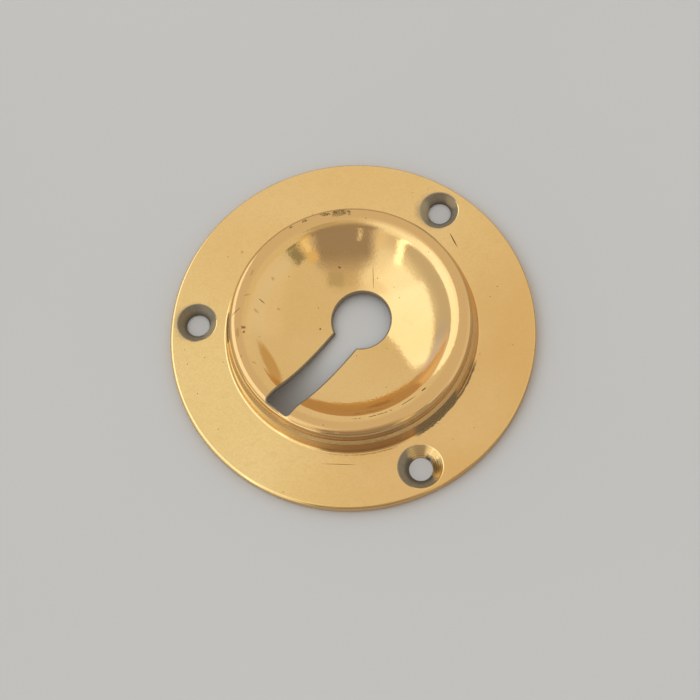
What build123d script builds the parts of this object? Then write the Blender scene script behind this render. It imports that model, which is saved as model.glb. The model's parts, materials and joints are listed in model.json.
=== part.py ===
from build123d import *
from math import atan2, cos, radians, sin, sqrt, tan
import os

# Keyhole escutcheon: a round plate screwed to a door over its lock.
# Origin at the middle of the back face, +Z out of the door, keyhole slot pointing down along -Y.

# Flange, in millimetres
plate_d = 55.0
flange_t = 1.6
edge_break = 0.4
back_break = 0.2

# Boss: a drafted wall, a sloping shoulder, and a plain drum with a round rim
total_h = 7.0
rim_d = 33.7
rim_r = 1.25
shoulder_h = 2.55
shoulder_w = 0.45
shoulder_slope = 50.0
wall_draft = 8.0
foot_bevel = 0.6

# Dish: a shallow floor and a steeper side, which rolls over into the rim
floor_t = 0.9
side_slope = 42.5
roll_r = 3.4

# Hollow back: straight tapers that leave one cast wall under the dish, the rim and the boss wall
cast_wall = 1.2
hollow_bevel = 0.6

# Keyhole: a round for the key's stem and a slot for its bit, which runs a little past the rim's crest
stem_d = 8.7
stem_up = 2.3
slot_w = 4.0
slot_past = 0.4
slot_corner = 0.5
keyhole_break = 0.2

# Three countersunk screw holes, each with the mouth it was cut to
screw_d = 3.5
screw_turn = 3.3
mouth_ds = (5.7, 5.7, 6.4)
mouth_angle = 90.0
mouth_break = 0.2

# Working sizes
touch = 0.001
plate_r = plate_d / 2
rim_x = rim_d / 2
rim_z = total_h - rim_r
drum_x = rim_x + rim_r
shoulder_x = drum_x + shoulder_w
shoulder_z = flange_t + shoulder_h
draft = radians(wall_draft)
steep = radians(side_slope)

# Start of the roll, where the dish's side is steepest
roll_x = rim_x - roll_r * sin(steep)
roll_z = total_h - roll_r * (1 - cos(steep))

# Floor and side of the dish: two arcs that run into each other, level in the middle and steep at the roll.
# The level line and the steep line are equally long up to the line that both arcs touch where they join.
rise = roll_z - floor_t
lean = roll_x * (1 + cos(steep)) + rise * sin(steep)
bend = 2 * (1 - cos(steep))
line = (sqrt(lean**2 + bend * (roll_x**2 + rise**2)) - lean) / bend
join_x = (roll_x + line * (1 - cos(steep))) / 2
join_z = floor_t + (rise - line * sin(steep)) / 2
join_slope = atan2(rise - line * sin(steep), roll_x - line * (1 + cos(steep)))


def wall_x(z):
    """Radius of the boss wall's drafted face at height z, where it runs down from the shoulder."""
    return shoulder_x + (shoulder_z - z) * tan(draft)


def bevel_corner(section, corner, width):
    """The section with one of its corners cut off."""
    return chamfer(section.vertices().sort_by_distance((*corner, 0))[0], width)


def blank_section():
    """Half section with a plain back: dish, rim, drum, shoulder, boss wall and flange."""
    back_edge = (plate_r, 0)
    front_edge = (plate_r, flange_t)
    wall_foot = (wall_x(flange_t), flange_t)
    drum_foot = (drum_x, shoulder_z + shoulder_w * tan(radians(shoulder_slope)))
    rim_side = (drum_x, rim_z)
    middle = (0, floor_t)
    floor = TangentArc(middle, (join_x, join_z), tangent=(1, 0))
    side = TangentArc(floor @ 1, (roll_x, roll_z), tangent=floor % 1)
    roll = TangentArc(side @ 1, (rim_x, total_h), tangent=side % 1)
    rim = TangentArc(roll @ 1, rim_side, tangent=roll % 1)
    wall = Polyline(rim_side, drum_foot, (shoulder_x, shoulder_z), wall_foot)
    flange = Polyline(wall_foot, front_edge, back_edge, (0, 0), middle)
    section = make_face([floor, side, roll, rim, wall, flange])
    section = bevel_corner(section, back_edge, back_break)
    section = bevel_corner(section, front_edge, edge_break)
    return bevel_corner(section, wall_foot, foot_bevel)


def hollow_section():
    """Half section of the ring-shaped hollow of the back."""
    side_wall = cast_wall / cos(draft)
    top_z = total_h - cast_wall
    under_join = (join_x + cast_wall * sin(join_slope), join_z - cast_wall * cos(join_slope))
    under_roll = (roll_x + cast_wall * sin(steep), roll_z - cast_wall * cos(steep))
    under_rim = (drum_x - cast_wall, top_z)
    wall_low = (wall_x(0) - side_wall, 0)
    floor_low = (under_join[0] - under_join[1] / tan(join_slope), 0)
    section = make_face(Polyline(floor_low, wall_low, under_rim, under_roll, under_join, close=True))
    return bevel_corner(section, under_rim, hollow_bevel)


def keyhole_outline():
    """Plan of the keyhole: the stem's round joined to the bit's slot."""
    slot_length = stem_up + rim_x + slot_past
    stem = Pos(0, stem_up) * Circle(stem_d / 2)
    slot = Pos(0, stem_up - slot_length / 2) * RectangleRounded(slot_w, slot_length, slot_corner)
    return stem + slot


def keyhole_brow(plate, outline):
    """Upper edges of the keyhole: the edges over its plan of the faces that look forward."""
    border = outline.wire()
    brow = []
    for face in plate.faces():
        for edge in face.edges():
            spot = edge @ 0.5
            over_plan = border.distance_to(Vector(spot.X, spot.Y, 0)) < touch
            if over_plan and face.normal_at(spot).Z > touch:
                brow.append(edge)
    return brow


def screw_cutter(mouth_d):
    """Turned cutter of one screw hole: the shank's bore, the countersink and the break of its mouth."""
    bore_r = screw_d / 2
    mouth_r = mouth_d / 2
    sink_z = flange_t - (mouth_r - bore_r) / tan(radians(mouth_angle / 2))
    mouth = (mouth_r, flange_t)
    flare_x = mouth_r + 2 * mouth_break
    under_z = -flange_t
    bore = Polyline((0, total_h), (0, under_z), (bore_r, under_z), (bore_r, sink_z), mouth)
    flare = Polyline(mouth, (flare_x, flange_t), (flare_x, total_h), (0, total_h))
    section = bevel_corner(make_face([bore, flare]), mouth, mouth_break)
    return revolve(Plane.XZ * section, Axis.Z)


def make_plate():
    """The whole casting: turned form with its hollow back, screw holes and keyhole."""
    plate = revolve(Plane.XZ * (blank_section() - hollow_section()), Axis.Z)
    foot_x = wall_x(flange_t) + foot_bevel
    screw_x = (foot_x + plate_r) / 2
    for index, mouth_d in enumerate(mouth_ds):
        angle = 90 + screw_turn + index * 360 / len(mouth_ds)
        plate -= Rot(0, 0, angle) * Pos(screw_x, 0, 0) * screw_cutter(mouth_d)
    outline = keyhole_outline()
    plate -= extrude(outline, total_h, both=True)
    return chamfer(keyhole_brow(plate, outline), keyhole_break)


os.makedirs("parts", exist_ok=True)
export_step(make_plate(), "parts/escutcheon_plate.step")
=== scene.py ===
import json
from math import asin, atan2, cos, hypot, pi, radians, sin, sqrt, tan

import bmesh
import bpy
from mathutils import Matrix, Quaternion, Vector


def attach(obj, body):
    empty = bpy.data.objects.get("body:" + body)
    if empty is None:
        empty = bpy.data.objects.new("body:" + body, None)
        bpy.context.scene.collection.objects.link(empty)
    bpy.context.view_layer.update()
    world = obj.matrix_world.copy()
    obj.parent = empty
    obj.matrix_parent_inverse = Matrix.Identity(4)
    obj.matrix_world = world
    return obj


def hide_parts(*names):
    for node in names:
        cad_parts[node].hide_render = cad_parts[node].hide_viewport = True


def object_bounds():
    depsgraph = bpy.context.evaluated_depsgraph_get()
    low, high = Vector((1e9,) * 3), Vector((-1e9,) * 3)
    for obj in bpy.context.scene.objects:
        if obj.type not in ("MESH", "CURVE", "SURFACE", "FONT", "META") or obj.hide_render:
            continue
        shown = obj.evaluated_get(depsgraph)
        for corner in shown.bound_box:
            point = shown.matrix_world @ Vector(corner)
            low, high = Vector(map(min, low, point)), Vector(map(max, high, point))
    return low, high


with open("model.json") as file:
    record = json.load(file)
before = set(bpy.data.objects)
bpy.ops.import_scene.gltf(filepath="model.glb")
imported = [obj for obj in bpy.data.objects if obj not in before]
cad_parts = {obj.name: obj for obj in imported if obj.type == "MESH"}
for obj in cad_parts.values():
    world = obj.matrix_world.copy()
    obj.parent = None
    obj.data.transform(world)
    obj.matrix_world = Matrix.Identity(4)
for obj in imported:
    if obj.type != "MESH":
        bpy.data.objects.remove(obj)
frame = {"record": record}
cad_low, cad_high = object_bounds()
screw_dims = next(m["dims"] for m in frame["record"]["mounts"] if m["name"] == "screw_holes")

mm = 0.001
micron = 0.001 * mm
touching = 0.1 * micron

# Flange
plate_r = cad_high.x
flange_t = 1.6 * mm
edge_round = 0.5 * mm
back_round = 0.2 * mm

# Boss: a drafted wall, a sloping shoulder, and a plain drum with a round rim
total_h = cad_high.z
rim_x = 16.85 * mm
rim_r = 1.25 * mm
rim_z = total_h - rim_r
drum_x = rim_x + rim_r
shoulder_x = drum_x + 0.45 * mm
shoulder_z = flange_t + 2.55 * mm
shoulder_slope = radians(50)
shoulder_round = 0.06 * mm
wall_draft = radians(8)
foot_round = 0.35 * mm

# Dish: a shallow floor and a steeper side, which rolls over into the rim
floor_t = 0.9 * mm
side_slope = radians(42.5)
roll_r = 3.4 * mm

# Hollow back: one thin wall under the dish and inside the boss
cast_wall = 0.8 * mm
hollow_round = 0.15 * mm

# Keyhole: a round for the key's stem and a slot for its bit
stem_r = 4.35 * mm
stem_up = 2.3 * mm
slot_half = 2.0 * mm
slot_end = rim_x + 0.4 * mm
slot_corner = 0.5 * mm
keyhole_round = 0.35 * mm

# Countersunk screw holes, each with the mouth it was cut to
screw_x = screw_dims["pcd_mm"] * mm / 2
bore_r = screw_dims["hole_r_mm"] * mm
screw_turn = radians(3.3)
mouth_rs = (2.92 * mm, 2.95 * mm, 3.3 * mm)
mouth_round = 0.14 * mm
sink_slope = radians(45)

# Marks of wear: centre, length and width in millimetres, turn in degrees
worn_spots = (
    ((-11.7, 12.5, 7.0), 2.5, 1.1, 46),
    ((-13.3, 11.0, 7.0), 1.6, 0.6, 40),
    ((-15.1, 8.3, 7.0), 0.8, 0.45, 60),
    ((-16.1, 6.3, 6.9), 0.5, 0.3, 60),
    ((-10.6, 13.4, 7.0), 0.5, 1.0, 50),
)
pit_marks = (
    ((-4.1, -2.5, 1.3), 0.34, 0.30, 0),
    ((-7.4, 6.6, 2.9), 0.36, 0.30, 0),
    ((-12.7, -5.2, 5.3), 0.95, 0.16, 8),
    ((-11.8, -10.4, 6.8), 0.55, 0.40, 40),
    ((-11.3, -10.9, 6.8), 0.30, 0.35, 0),
)
stain_marks = (
    ((-14.6, -6.1, 6.8), 0.9, 0.3, 60),
    ((-16.2, -2.9, 6.9), 1.0, 0.3, 100),
    ((-13.6, -1.4, 5.4), 0.5, 0.45, 0),
    ((-10.4, -4.3, 3.6), 0.5, 0.4, 30),
    ((-12.3, -7.0, 5.7), 0.8, 0.4, 0),
    ((-21.4, 0.1, 1.6), 0.4, 0.4, 0),
    ((-11.9, -11.6, 6.8), 1.5, 0.5, 130),
    ((-7.1, -13.7, 6.5), 0.6, 0.3, 20),
    ((11.3, -7.35, 5.2), 3.6, 0.7, 55),
)
streak_mark = ((-5.4, -12.15, 5.1), 7.4, 1.6, -26)
nick_marks = (
    ((3.4, 20.8, 1.6), 2.4, 0.16, -27),
    ((11.2, -17.5, 1.6), 4.6, 0.06, 35),
    ((-2.4, 8.4, 2.4), 3.1, 0.07, -52),
    ((-14.2, -9.2, 6.9), 1.7, 0.09, 83),
    ((15.36, -2.1, 6.7), 0.75, 0.2, 75),
)

# Marks at the countersinks: tarnish crept over the edge, bright metal, thin tarnish, and rubbed lips
halo_marks = (
    ((-1.8, 23.1, 1.6), 5.8, 5.8, 0),
    ((-20.1, -13.25, 1.6), 5.8, 5.8, 0),
)
bright_marks = (
    ((22.6, -8.3, 1.2), 5.6, 2.2, -52),
    ((20.8, -7.6, 1.2), 3.0, 1.6, 10),
    ((19.3, -8.7, 1.2), 3.4, 2.0, 52),
)
thin_marks = (
    ((-3.2, 22.1, 1.3), 3.4, 1.6, -53),
    ((-0.8, 25.8, 1.4), 2.2, 1.0, -8),
    ((-17.4, -12.5, 1.3), 3.2, 1.5, 102),
)
lip_marks = (
    ((1.3, 24.2, 1.6), 6.0, 2.8, 100),
    ((-17.0, -13.0, 1.6), 5.0, 2.4, 95),
    ((23.4, -11.6, 1.6), 7.0, 3.4, 85),
)

# Clean metal, from the flange to the dish
flange_brass = (0.795, 0.515, 0.195)
pale_brass = (0.86, 0.60, 0.24)
red_brass = (0.725, 0.435, 0.15)
boss_brass = (0.73, 0.46, 0.168)
rim_brass = (0.67, 0.41, 0.158)
dish_brass = (0.725, 0.47, 0.185)
# Painted reflection tone for the near side of the dish's steep ring
near_side_reflection_tint = (0.64, 0.445, 0.26)
cloud_gold = (1.0, 0.80, 0.45)
mottle_brown = (0.66, 0.40, 0.14)
scour_brown = (0.62, 0.38, 0.13)

# Brown, worn and dirty metal, the darker tone first where there are two
wall_browns = (0.27, 0.165, 0.085), (0.51, 0.335, 0.185)
dirt_browns = (0.135, 0.086, 0.032), (0.33, 0.235, 0.10)
worn_browns = (0.20, 0.105, 0.025), (0.48, 0.33, 0.14)
stain_brown = (0.42, 0.22, 0.08)
streak_brown = (0.50, 0.22, 0.03)
hollow_brown = (0.12, 0.055, 0.008)
halo_brown = (0.33, 0.24, 0.13)

# Cut faces and floor
tarnish_greys = (0.15, 0.12, 0.075), (0.31, 0.25, 0.155)
line_grey = (0.36, 0.29, 0.18)
# Painted shade low in the holes
painted_shade_grey = (0.11, 0.09, 0.06)
thin_tarnish = (0.47, 0.36, 0.19)
rubbed_brasses = (0.74, 0.49, 0.19), (0.86, 0.60, 0.26)
floor_greys = (0.535, 0.51, 0.465), (0.565, 0.54, 0.495)

# Surroundings: an even light, and cards by compass, tilt from overhead, turn, half sizes, softness of the ends
# and of the sides, and colour
studio_level = 0.92
studio_cards = (
    (222, 74, 0, 36, 17, 5, 5, (0.76, 0.77, 0.80)),
    (35, 66, 0, 28, 19, 7, 7, (0.98, 1.00, 1.06)),
    (222, 36, 20, 34, 22, 12, 12, (1.24, 1.32, 1.44)),
    (226, 43, 20, 20, 13, 6, 3, (1.42, 1.56, 1.78)),
    (186, 49, 30, 30, 23, 4, 2.5, (1.52, 1.70, 1.98)),
    (137, 85, -6, 28, 70, 1.5, 3, (0.92, 0.92, 0.92)),
    (-50, 20, 0, 9, 11, 5, 5, (0.80, 0.77, 0.74)),
    (-49, 33, 0, 14, 11, 6, 8, (0.70, 0.66, 0.66)),
    (-50, 55, 0, 22, 23, 5, 10, (0.45, 0.41, 0.44)),
    (-30, 19, -20, 5.5, 6, 1.5, 1.5, (0.64, 0.64, 0.60)),
    (-46, 86, 0, 34, 14, 4, 4, (0.30, 0.28, 0.26)),
    (-10, 82, 0, 24, 14, 6, 6, (0.46, 0.43, 0.40)),
    (-102, 60, 20, 2.5, 12, 2, 4, (2.60, 2.60, 2.70)),
    (-84, 58, 0, 3, 6, 3, 4, (1.10, 1.05, 1.00)),
    (-65, 57, 0, 1.2, 4, 1, 2, (1.15, 1.15, 1.15)),
    (-16, 52, 0, 4.5, 11, 2, 3, (0.95, 0.84, 0.60)),
    (-17, 57, 0, 2, 5, 1.5, 2, (1.20, 1.15, 0.95)),
    (-5, 56, 0, 4.5, 7.5, 2, 2, (0.40, 0.41, 0.36)),
    (257, 87, 0, 28, 11, 4, 4, (1.50, 1.50, 1.50)),
)

# Floor
floor_half = 1.5
floor_gap = 0.02 * mm

# Fineness of the turned forms, the keyhole's outline and the rounds of the cuts
turns = 384
arc_steps = 32
back_steps = 8
hole_turns = 96
side_steps = 60
stem_steps = 108
corner_steps = 10
mouth_steps = 6
mouth_share = 0.9
flare_steps = 6
flare_step = radians(15)
sharp_turn = radians(30)

# Start of the roll, where the dish's side is steepest
roll_x = rim_x - roll_r * sin(side_slope)
roll_z = total_h - roll_r * (1 - cos(side_slope))

# Floor and side of the dish: two arcs that run into each other, level in the middle and steep at the roll.
# The level line and the steep line are equally long up to the line that both arcs touch where they join.
rise = roll_z - floor_t
lean = roll_x * (1 + cos(side_slope)) + rise * sin(side_slope)
bend = 2 * (1 - cos(side_slope))
line = (sqrt(lean**2 + bend * (roll_x**2 + rise**2)) - lean) / bend
join_x = (roll_x + line * (1 - cos(side_slope))) / 2
join_z = floor_t + (rise - line * sin(side_slope)) / 2
join_slope = atan2(rise - line * sin(side_slope), roll_x - line * (1 + cos(side_slope)))
floor_r = join_x / sin(join_slope)
side_r = (roll_x - join_x) / (sin(side_slope) - sin(join_slope))
floor_centre = (0, 0, floor_t + floor_r)
side_centre = (join_x - side_r * sin(join_slope), 0, join_z + side_r * cos(join_slope))
roll_centre = (rim_x, 0, total_h - roll_r)


def wall_x(z):
    """Radius of the boss wall's drafted face at height z."""
    return shoulder_x + (shoulder_z - z) * tan(wall_draft)


def front_height(x, y):
    """Height of the dish or of the rim at a place in plan."""
    r = hypot(x, y)
    if r < join_x:
        return floor_centre[2] - sqrt(floor_r**2 - r**2)
    if r < roll_x:
        return side_centre[2] - sqrt(side_r**2 - (r - side_centre[0])**2)
    if r < rim_x:
        return roll_centre[2] + sqrt(roll_r**2 - (r - rim_x)**2)
    return rim_z + sqrt(max(rim_r**2 - (r - rim_x)**2, 0))


def straight_run(bm, start, *places):
    """Carries a half section on from a vertex through (x, z) places, and gives its new end."""
    for x, z in places:
        start = bmesh.ops.extrude_vert_indiv(bm, verts=[start])["verts"][0]
        start.co = (x, 0, z)
    return start


def round_run(bm, start, centre, axis, angle, steps):
    """Carries a line on from a vertex round a centre, and gives its new end."""
    made = bmesh.ops.spin(bm, geom=[start], cent=centre, axis=axis, angle=angle, steps=steps)
    return next(item for item in made["geom_last"] if isinstance(item, bmesh.types.BMVert))


def turn_section(bm, steps):
    """Turns a half section about the axis into a closed form."""
    bmesh.ops.spin(bm, geom=bm.verts[:] + bm.edges[:], cent=(0, 0, 0), axis=(0, 0, 1),
                   angle=2 * pi, steps=steps, use_merge=True)
    bmesh.ops.remove_doubles(bm, verts=bm.verts, dist=touching)
    bmesh.ops.recalc_face_normals(bm, faces=bm.faces)


def round_corner(bm, x, z, width, segments):
    """Rounds the turned corner that passes through (x, z)."""
    ring = [edge for edge in bm.edges
            if all(abs(hypot(v.co.x, v.co.y) - x) < micron and abs(v.co.z - z) < micron for v in edge.verts)]
    bmesh.ops.bevel(bm, geom=ring, offset=width, offset_type="OFFSET", affect="EDGES",
                    segments=segments, profile=0.5, material=-1)


def turned_plate():
    """The plate as it is turned: dish, rim, drum, shoulder, boss wall, flange and hollow back."""
    bm = bmesh.new()
    across = (0, 1, 0)
    drum_foot = (drum_x, shoulder_z + (shoulder_x - drum_x) * tan(shoulder_slope))
    shoulder = (shoulder_x, shoulder_z)
    wall_foot = (wall_x(flange_t), flange_t)
    front_edge = (plate_r, flange_t)
    back_edge = (plate_r, 0)
    wall_low = (wall_x(0) - cast_wall / cos(wall_draft), 0)
    under_rim = (rim_x, total_h - cast_wall)

    middle = bm.verts.new((0, 0, floor_t))
    join = round_run(bm, middle, floor_centre, across, -join_slope, arc_steps)
    roll = round_run(bm, join, side_centre, across, join_slope - side_slope, arc_steps)
    crest = round_run(bm, roll, roll_centre, across, side_slope, arc_steps)
    drum = round_run(bm, crest, (rim_x, 0, rim_z), across, pi / 2, arc_steps)
    inside = straight_run(bm, drum, drum_foot, shoulder, wall_foot, front_edge, back_edge, wall_low, under_rim)
    under_roll = round_run(bm, inside, roll_centre, across, -side_slope, back_steps)
    under_join = round_run(bm, under_roll, side_centre, across, side_slope - join_slope, back_steps)
    round_run(bm, under_join, floor_centre, across, join_slope, back_steps)
    turn_section(bm, turns)

    for corner, width, segments in (
            (drum_foot, shoulder_round, 3), (shoulder, shoulder_round, 3), (wall_foot, foot_round, 8),
            (front_edge, edge_round, 7), (back_edge, back_round, 3), (under_rim, hollow_round, 4)):
        round_corner(bm, *corner, width, segments)
    return bm


def screw_cutter(angle, mouth_r):
    """Turned cutter of one screw hole: bore, countersink and the round of its mouth."""
    bm = bmesh.new()
    sink_z = flange_t - (mouth_r - bore_r) / tan(sink_slope)
    round_r = mouth_round / tan(sink_slope / 2)
    lip = (mouth_r - mouth_round * cos(sink_slope), flange_t - mouth_round * sin(sink_slope))
    low = bm.verts.new((0, 0, -flange_t))
    cone = straight_run(bm, low, (bore_r, -flange_t), (bore_r, sink_z), lip)
    flare = round_run(bm, cone, (mouth_r + mouth_round, 0, flange_t - round_r), (0, 1, 0),
                      mouth_share * sink_slope, mouth_steps)
    straight_run(bm, flare, (flare.co.x, total_h), (0, total_h))
    turn_section(bm, hole_turns)
    place = Matrix.Rotation(angle, 4, "Z") @ Matrix.Translation((screw_x, 0, 0))
    bmesh.ops.transform(bm, matrix=place, verts=bm.verts)
    return bm


def keyhole_outline(bm):
    """Plan of the keyhole drawn as one closed line; gives its vertices in order, clockwise."""
    join_y = stem_up - sqrt(stem_r**2 - slot_half**2)
    end_y = -slot_end
    up = (0, 0, 1)

    def side_run(start, x, first_y, last_y):
        for step in range(1, side_steps + 1):
            start = bmesh.ops.extrude_vert_indiv(bm, verts=[start])["verts"][0]
            start.co = (x, first_y + (last_y - first_y) * step / side_steps, 0)
        return start

    first = bm.verts.new((slot_half, join_y, 0))
    left_join = round_run(bm, first, (0, stem_up, 0), up, 2 * pi - 2 * asin(slot_half / stem_r), stem_steps)
    corner_y = end_y + slot_corner
    left_low = side_run(left_join, -slot_half, join_y, corner_y)
    left_end = round_run(bm, left_low, (-slot_half + slot_corner, corner_y, 0), up, pi / 2, corner_steps)
    right_end = bmesh.ops.extrude_vert_indiv(bm, verts=[left_end])["verts"][0]
    right_end.co = (slot_half - slot_corner, end_y, 0)
    right_low = round_run(bm, right_end, (slot_half - slot_corner, corner_y, 0), up, pi / 2, corner_steps)
    side_run(right_low, slot_half, corner_y, join_y)
    bmesh.ops.remove_doubles(bm, verts=bm.verts, dist=touching)

    first = max(bm.verts, key=lambda vert: vert.co.y)
    ring, edge = [first], next(e for e in first.link_edges if e.other_vert(first).co.x > first.co.x)
    while len(ring) < len(bm.verts):
        ring.append(edge.other_vert(ring[-1]))
        edge = next(e for e in ring[-1].link_edges if e is not edge)
    return ring


def keyhole_cutter():
    """Cutter of the keyhole, flared so that it rounds the edge where it comes out of the dish and the rim."""
    bm = bmesh.new()
    ring = keyhole_outline(bm)
    count = len(ring)
    outward = []
    for index in range(count):
        along = (ring[(index + 1) % count].co - ring[index - 1].co).normalized()
        outward.append(Vector((-along.y, along.x, 0)))
    plan = [vert.co.copy() for vert in ring]

    # Levels of the cutter: spread beyond the plan, and either a height over the front or a fixed height
    levels = [(0, None, -total_h)]
    for step in range(flare_steps):
        tip = flare_step * step
        spread = keyhole_round * (1 - cos(tip))
        levels.append((spread, keyhole_round * (sin(tip) - 1), None))
    levels.append((spread, None, 2 * total_h))

    loop = list(bm.edges)
    spots = ring
    for number, (spread, over_front, fixed) in enumerate(levels):
        if number:
            index_of = {vert: index for index, vert in enumerate(spots)}
            grown = bmesh.ops.extrude_edge_only(bm, edges=loop)["geom"]
            loop = [item for item in grown if isinstance(item, bmesh.types.BMEdge)
                    and not any(v in index_of for v in item.verts)]
            lifted = [None] * count
            for item in grown:
                if isinstance(item, bmesh.types.BMVert):
                    under = next(e.other_vert(item) for e in item.link_edges if e.other_vert(item) in index_of)
                    lifted[index_of[under]] = item
            spots = lifted
        for index, vert in enumerate(spots):
            place = plan[index] + outward[index] * spread
            height = fixed if over_front is None else front_height(place.x, place.y) + over_front
            vert.co = (place.x, place.y, height)
    rims = [edge for edge in bm.edges if edge.is_boundary]
    bmesh.ops.holes_fill(bm, edges=rims)
    bmesh.ops.recalc_face_normals(bm, faces=bm.faces)
    return bm


def made_object(name, bm, materials=()):
    """Object with this mesh, at the origin."""
    mesh = bpy.data.meshes.new(name)
    bm.to_mesh(mesh)
    bm.free()
    for material in materials:
        mesh.materials.append(material)
    piece = bpy.data.objects.new(name, mesh)
    bpy.context.scene.collection.objects.link(piece)
    return piece


def cut_away(piece, cutters):
    """Takes the cutters out of a piece; the cut faces get the piece's second material."""
    for number, bm in enumerate(cutters):
        for face in bm.faces:
            face.material_index = 1
        cutter = made_object("cutter_%d" % number, bm, piece.data.materials)
        boolean = piece.modifiers.new("cut", "BOOLEAN")
        boolean.operation = "DIFFERENCE"
        boolean.solver = "EXACT"
        boolean.object = cutter
        whole = piece.evaluated_get(bpy.context.evaluated_depsgraph_get())
        cut = bpy.data.meshes.new_from_object(whole)
        piece.modifiers.clear()
        piece.data = cut
        bpy.data.objects.remove(cutter)


def smooth_over(piece, sharp):
    """Smooth faces, with hard edges where a cut begins and where the form turns sharply."""
    bm = bmesh.new()
    bm.from_mesh(piece.data)
    bmesh.ops.remove_doubles(bm, verts=bm.verts, dist=touching)
    for face in bm.faces:
        face.smooth = True
    for edge in bm.edges:
        if len(edge.link_faces) == 2:
            one, other = edge.link_faces
            edge.smooth = one.material_index == other.material_index and edge.calc_face_angle(0) < sharp
    bm.to_mesh(piece.data)
    bm.free()
    even = piece.modifiers.new("even_shading", "WEIGHTED_NORMAL")
    even.keep_sharp = True


def add(tree, kind, inputs=None, **settings):
    """New node with its settings, its inputs set or joined."""
    made = tree.nodes.new(kind)
    for name, value in settings.items():
        setattr(made, name, value)
    for name, value in (inputs or {}).items():
        if isinstance(value, bpy.types.NodeSocket):
            tree.links.new(value, made.inputs[name])
        else:
            made.inputs[name].default_value = value
    return made


def blended(tree, share, under, over):
    """Colour or number that goes from one to the other by a share."""
    if isinstance(over, tuple):
        over = (*over, 1)
    if isinstance(under, tuple):
        under = (*under, 1)
    colour = isinstance(over, tuple) or isinstance(under, tuple) or getattr(under, "type", "") == "RGBA"
    if colour:
        return add(tree, "ShaderNodeMix", {0: share, 6: under, 7: over}, data_type="RGBA").outputs[2]
    return add(tree, "ShaderNodeMix", {0: share, 2: under, 3: over}, data_type="FLOAT").outputs[0]


def ramp(tree, value, start, stop):
    """Share that goes smoothly from 0 at start to 1 at stop."""
    return add(tree, "ShaderNodeMapRange", {"Value": value, "From Min": start, "From Max": stop},
               interpolation_type="SMOOTHSTEP").outputs[0]


def sums(tree, operation, first, second):
    """Result of one sum."""
    return add(tree, "ShaderNodeMath", {0: first, 1: second}, operation=operation).outputs[0]


def times(tree, first, second):
    """One share or number times another."""
    return sums(tree, "MULTIPLY", first, second)


def plus(tree, first, second):
    """One number added to another."""
    return sums(tree, "ADD", first, second)


def grain(tree, place, size, detail=3.0, rough=0.5):
    """Cloudy pattern whose clouds are about this size, from 0 to 1."""
    return add(tree, "ShaderNodeTexNoise", {
        "Vector": place, "Scale": 1 / size, "Detail": detail, "Roughness": rough}).outputs["Fac"]


def between(tree, value, low, high, soft):
    """Share of a band of values with soft ends."""
    return times(tree, ramp(tree, value, low - soft, low + soft),
                 ramp(tree, value, high + soft, high - soft))


def arc(tree, place, middle, half, soft=0.15):
    """Share of a stretch of the round, by its middle and half its angle in degrees."""
    flat = add(tree, "ShaderNodeVectorMath", {0: place, 1: (1, 1, 0)}, operation="MULTIPLY").outputs[0]
    unit = add(tree, "ShaderNodeVectorMath", {0: flat}, operation="NORMALIZE").outputs[0]
    toward = (cos(radians(middle)), sin(radians(middle)), 0)
    facing = add(tree, "ShaderNodeVectorMath", {0: unit, 1: toward}, operation="DOT_PRODUCT").outputs["Value"]
    return ramp(tree, facing, cos(radians(half * (1 + soft))), cos(radians(half * (1 - soft))))


def spot(tree, place, centre, length, width, turn, ragged, soft=0.25, wander=0.9):
    """Share of a mark: its centre and sizes in millimetres, its turn in degrees, with a ragged edge."""
    own = add(tree, "ShaderNodeMapping", {
        "Vector": place, "Location": tuple(c * mm for c in centre), "Rotation": (0, 0, radians(turn)),
        "Scale": (length * mm / 2, width * mm / 2, max(length, width) * mm)}, vector_type="TEXTURE").outputs[0]
    reach = add(tree, "ShaderNodeVectorMath", {0: own}, operation="LENGTH").outputs["Value"]
    reach = add(tree, "ShaderNodeMath", {0: ragged, 1: wander, 2: reach}, operation="MULTIPLY_ADD").outputs[0]
    edge = 1 + wander / 2
    return ramp(tree, reach, edge + soft, edge - soft)


def either(tree, shares):
    """Greatest of several shares."""
    most = shares[0]
    for share in shares[1:]:
        most = sums(tree, "MAXIMUM", most, share)
    return most


def new_finish(name):
    """New material: the material, its nodes, its shader and the place on the piece."""
    material = bpy.data.materials.new(name)
    material.use_nodes = True
    tree = material.node_tree
    return material, tree, tree.nodes["Principled BSDF"], add(tree, "ShaderNodeTexCoord").outputs["Object"]


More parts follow.
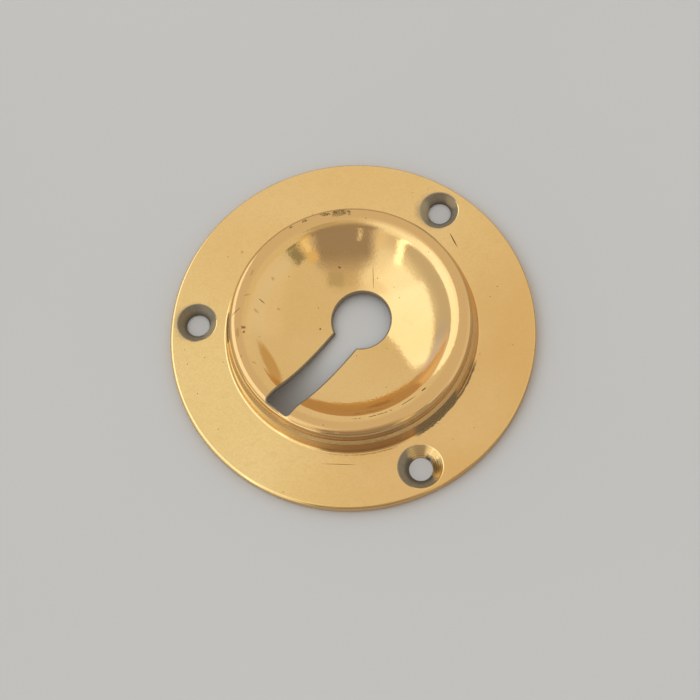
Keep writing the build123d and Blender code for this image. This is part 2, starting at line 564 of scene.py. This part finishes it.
def polished_brass():
    """Old polished brass: browner on the boss and its wall, with stains, worn spots, pits, nicks and dirt; painted
    light and shade on the wall and a painted reflection tone on the dish's steep side.
    """
    material, tree, shader, place = new_finish("polished_brass")
    z = add(tree, "ShaderNodeSeparateXYZ", {0: place}).outputs[2]
    flat = add(tree, "ShaderNodeVectorMath", {0: place, 1: (1, 1, 0)}, operation="MULTIPLY").outputs[0]
    r = add(tree, "ShaderNodeVectorMath", {0: flat}, operation="LENGTH").outputs["Value"]
    clouds = grain(tree, place, 14 * mm, 4.0)
    mottle = grain(tree, place, 1.6 * mm, 5.0)
    ragged = grain(tree, place, 0.35 * mm, 4.0)
    fine = grain(tree, place, 0.12 * mm, 3.0)

    # Clean metal: the flange paler at one side and redder at the next, the boss a little browner
    tone = blended(tree, arc(tree, place, 268, 60, 0.6), flange_brass, pale_brass)
    tone = blended(tree, arc(tree, place, 0, 58, 0.6), tone, red_brass)
    tone = blended(tree, ramp(tree, r, 18.9 * mm, 18.0 * mm), tone, boss_brass)
    tone = blended(tree, ramp(tree, clouds, 0.35, 0.75), tone, blended(tree, 0.12, tone, cloud_gold))
    tone = blended(tree, times(tree, ramp(tree, mottle, 0.52, 0.80), 0.22), tone, mottle_brown)
    tone = blended(tree, times(tree, ramp(tree, ragged, 0.42, 0.62), 0.14), tone, scour_brown)

    # Rim, and ring on the dish's steep side where the dish mirrors itself, a painted reflection tone that is duller
    # at the near side
    tone = blended(tree, between(tree, r, 15.9 * mm, 17.7 * mm, 0.3 * mm), tone, rim_brass)
    ring = between(tree, r, 12.9 * mm, 14.7 * mm, 0.5 * mm)
    tone = blended(tree, ring, tone, blended(tree, arc(tree, place, -30, 60, 0.3), dish_brass, near_side_reflection_tint))

    # Brown patina outside of the boss above and below its bright shoulder, painted deeper on one side and lighter
    # on the side the light comes from, as painted light and shade
    upright = times(tree, between(tree, r, 17.75 * mm, 19.0 * mm, 0.15 * mm),
                    between(tree, z, 1.95 * mm, 6.4 * mm, 0.25 * mm))
    shoulder = between(tree, z, shoulder_z + 0.02 * mm, shoulder_z + 0.52 * mm, 0.04 * mm)
    patina_and_side_shade = times(tree, upright, sums(tree, "SUBTRACT", 1.0, times(tree, shoulder, 0.85)))
    # Painted light and shade: the brown is lighter on the side facing the large soft light and deeper opposite it
    patina_and_side_shade = times(tree, patina_and_side_shade, blended(tree, arc(tree, place, -12, 88, 0.25), 0.25, 0.75))
    patina_and_side_shade = times(tree, patina_and_side_shade, ramp(tree, mottle, 0.05, 0.40))
    turning = grain(tree, add(tree, "ShaderNodeCombineXYZ", {0: r, 1: z}).outputs[0], 0.16 * mm, 2.0)
    tone = blended(tree, patina_and_side_shade, tone, blended(tree, turning, *wall_browns))

    # Dirt left at the foot of the boss, which thins to a line at one end
    strayed = plus(tree, r, times(tree, ragged, 0.5 * mm))
    foot = times(tree, between(tree, strayed, 18.6 * mm, 19.5 * mm, 0.06 * mm),
                 between(tree, z, 1.55 * mm, 4.05 * mm, 0.08 * mm))
    low_line = times(tree, arc(tree, place, 2.0, 19.0), ramp(tree, z, 1.80 * mm, 1.66 * mm))
    heap = either(tree, [arc(tree, place, -9.0, 12.5), low_line])
    heap = times(tree, foot, times(tree, heap, ramp(tree, turning, 0.30, 0.40)))
    crumbs = ramp(tree, grain(tree, place, 0.2 * mm, 4.0, 0.7), 0.35, 0.65)
    tone = blended(tree, heap, tone, blended(tree, crumbs, *dirt_browns))

    # Worn spots on the rim
    worn = either(tree, [spot(tree, place, *mark, ragged, 0.2, 1.6) for mark in worn_spots])
    flaked = ramp(tree, grain(tree, place, 0.22 * mm, 3.0, 0.6), 0.40, 0.60)
    tone = blended(tree, worn, tone, blended(tree, flaked, *worn_browns))

    # Stains, a brown streak, pits, specks, cracks and nicks
    pits = either(tree, [spot(tree, place, *mark, ramp(tree, fine, 0.25, 0.75), 0.3, 1.2) for mark in pit_marks])
    stains = either(tree, [spot(tree, place, *mark, ragged, 0.4, 1.4) for mark in stain_marks])
    tone = blended(tree, times(tree, stains, 0.5), tone, stain_brown)
    streak = spot(tree, place, *streak_mark, ragged, 0.3, 0.3)
    tone = blended(tree, times(tree, streak, 0.7), tone, streak_brown)
    cells = add(tree, "ShaderNodeTexVoronoi", {"Vector": place, "Scale": 1 / (1.5 * mm)})
    chosen = add(tree, "ShaderNodeSeparateXYZ", {0: cells.outputs["Color"]}).outputs[0]
    specks = times(tree, ramp(tree, cells.outputs["Distance"], 0.085, 0.045), ramp(tree, chosen, 0.55, 0.75))
    wandering = plus(tree, r, times(tree, mottle, 0.3 * mm))
    cracks = times(tree, between(tree, wandering, 15.52 * mm, 15.62 * mm, 0.05 * mm), arc(tree, place, -32.0, 17.0))
    cracks = times(tree, cracks, ramp(tree, grain(tree, place, 0.8 * mm, 1.0), 0.47, 0.52))
    nicks = either(tree, [spot(tree, place, *mark, ragged, 0.3) for mark in nick_marks])
    hollows = either(tree, [times(tree, pits, 0.8), cracks, nicks, times(tree, specks, 0.6)])
    tone = blended(tree, hollows, tone, hollow_brown)

    # Soft dark halo where the countersinks' tarnish has crept over their edges
    halos = either(tree, [spot(tree, place, *mark, mottle, 0.2, 0.5) for mark in halo_marks])
    tone = blended(tree, times(tree, halos, 0.6), tone, halo_brown)
    tree.links.new(tone, shader.inputs["Base Color"])

    dull = either(tree, [patina_and_side_shade, worn, halos])
    bare = blended(tree, either(tree, [patina_and_side_shade, halos]), 1.0, 0.65)
    tree.links.new(blended(tree, heap, bare, 0.0), shader.inputs["Metallic"])
    gloss = blended(tree, ramp(tree, fine, 0.3, 0.75), 0.045, 0.13)
    gloss = blended(tree, ramp(tree, r, 19.0 * mm, 20.5 * mm), gloss, plus(tree, gloss, 0.06))
    gloss = blended(tree, either(tree, [dull, hollows]), gloss, 0.30)
    tree.links.new(blended(tree, heap, gloss, 0.9), shader.inputs["Roughness"])

    # Hand-polished waviness, fine scouring, and the depth of pits and dirt
    depth = times(tree, mottle, 8.0)
    depth = plus(tree, depth, times(tree, grain(tree, place, 0.45 * mm, 2.0), 7.0))
    depth = plus(tree, depth, times(tree, fine, 0.35))
    depth = plus(tree, depth, times(tree, either(tree, [hollows, worn]), -7.0))
    depth = plus(tree, depth, times(tree, heap, times(tree, ragged, 60.0)))
    bump = add(tree, "ShaderNodeBump", {"Height": depth, "Distance": micron, "Strength": 1.0})
    tree.links.new(bump.outputs[0], shader.inputs["Normal"])
    return material


def tarnished_cut():
    """Cut faces: dark tarnish with turning marks and painted shade low down, rubbed through to bright brass at one
    side.
    """
    material, tree, shader, place = new_finish("tarnished_cut")
    z = add(tree, "ShaderNodeSeparateXYZ", {0: place}).outputs[2]
    ragged = grain(tree, place, 0.45 * mm, 4.0)
    fine = grain(tree, place, 0.10 * mm, 4.0)
    lines = add(tree, "ShaderNodeTexWave", {
        "Vector": place, "Scale": 1.0 / (0.9 * mm), "Distortion": 2.5, "Detail": 2.0},
        bands_direction="Z").outputs["Fac"]
    tone = blended(tree, ragged, *tarnish_greys)
    tone = blended(tree, times(tree, lines, 0.35), tone, line_grey)
    # Painted shade: the cut faces darken towards the bottom of the holes
    tone = blended(tree, ramp(tree, z, 1.0 * mm, 0.3 * mm), tone, painted_shade_grey)
    thin = either(tree, [spot(tree, place, *mark, ragged, 0.4) for mark in thin_marks])
    tone = blended(tree, times(tree, thin, 0.6), tone, thin_tarnish)
    rubbed = either(tree, [spot(tree, place, *mark, ragged, 0.3) for mark in lip_marks])
    lip = times(tree, ramp(tree, z, 1.48 * mm, 1.53 * mm), rubbed)
    bright = either(tree, [lip] + [spot(tree, place, *mark, ragged, 0.3) for mark in bright_marks])
    tone = blended(tree, bright, tone, blended(tree, fine, *rubbed_brasses))
    tree.links.new(tone, shader.inputs["Base Color"])
    tree.links.new(blended(tree, bright, 0.45, 1.0), shader.inputs["Metallic"])
    tree.links.new(blended(tree, bright, blended(tree, fine, 0.38, 0.60), 0.14), shader.inputs["Roughness"])
    depth = plus(tree, times(tree, lines, 4.0), times(tree, fine, 5.0))
    bump = add(tree, "ShaderNodeBump", {"Height": depth, "Distance": micron, "Strength": 1.0})
    tree.links.new(bump.outputs[0], shader.inputs["Normal"])
    return material


def pale_floor():
    """Plain matt floor."""
    material, tree, shader, place = new_finish("pale_floor")
    tone = blended(tree, grain(tree, place, 80 * mm, 2.0), *floor_greys)
    tree.links.new(tone, shader.inputs["Base Color"])
    shader.inputs["Roughness"].default_value = 0.9
    return material


def studio_world():
    """Even bright surroundings with plain cards: a large soft light at one side, dark cards at the other."""
    world = bpy.data.worlds.new("studio")
    bpy.context.scene.world = world
    world.use_nodes = True
    tree = world.node_tree
    sky = tree.nodes["Background"]
    direction = add(tree, "ShaderNodeTexCoord").outputs["Generated"]
    light = (studio_level,) * 3
    for compass, tilt, turn, across, along, end_soft, side_soft, colour in studio_cards:
        facing = add(tree, "ShaderNodeMapping", {
            "Vector": direction, "Rotation": (0, radians(tilt), radians(compass))}, vector_type="TEXTURE")
        turned = add(tree, "ShaderNodeMapping", {
            "Vector": facing.outputs[0], "Rotation": (0, 0, radians(turn))}, vector_type="TEXTURE")
        down, side, ahead = add(tree, "ShaderNodeSeparateXYZ", {0: turned.outputs[0]}).outputs
        inside = add(tree, "ShaderNodeMath", {0: ahead, 1: 0.0}, operation="GREATER_THAN").outputs[0]
        for reach, half, soft in ((down, along, side_soft), (side, across, end_soft)):
            out = sums(tree, "ABSOLUTE", sums(tree, "DIVIDE", reach, ahead), 0.0)
            edge = ramp(tree, out, tan(radians(half + soft)), tan(radians(half - soft)))
            inside = times(tree, inside, edge)
        light = blended(tree, inside, light, colour)
    tree.links.new(light, sky.inputs["Color"])


def photo_camera():
    """Camera above the plate at the photograph's angle."""
    aim = Vector((1.63, -2.54, 1.6)) * mm
    compass, height, distance, roll = radians(-40.83), radians(70.0), 275.5 * mm, radians(11.81)
    toward = Vector((cos(height) * cos(compass), cos(height) * sin(compass), sin(height)))
    lens = bpy.data.cameras.new("photo_camera")
    lens.lens = 94.94
    lens.sensor_width = 36
    lens.clip_start = 1 * mm
    camera = bpy.data.objects.new("photo_camera", lens)
    camera.rotation_mode = "QUATERNION"
    camera.location = aim + toward * distance
    camera.rotation_quaternion = toward.to_track_quat("Z", "Y") @ Quaternion((0, 0, 1), -roll)
    bpy.context.scene.collection.objects.link(camera)
    bpy.context.scene.camera = camera


bpy.context.scene.view_settings.view_transform = "Standard"

plate = made_object("brass_plate", turned_plate(), (polished_brass(), tarnished_cut()))
screw_angles = [pi / 2 + screw_turn + index * 2 * pi / screw_dims["count"] for index in range(screw_dims["count"])]
screw_cutters = [screw_cutter(angle, mouth_r) for angle, mouth_r in zip(screw_angles, mouth_rs)]
cut_away(plate, screw_cutters + [keyhole_cutter()])
smooth_over(plate, sharp_turn)
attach(plate, "root")
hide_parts("escutcheon_plate")

floor_bm = bmesh.new()
bmesh.ops.create_grid(floor_bm, x_segments=1, y_segments=1, size=floor_half)
bmesh.ops.translate(floor_bm, vec=(0, 0, -floor_gap), verts=floor_bm.verts)
floor = made_object("floor", floor_bm, (pale_floor(),))

studio_world()
photo_camera()
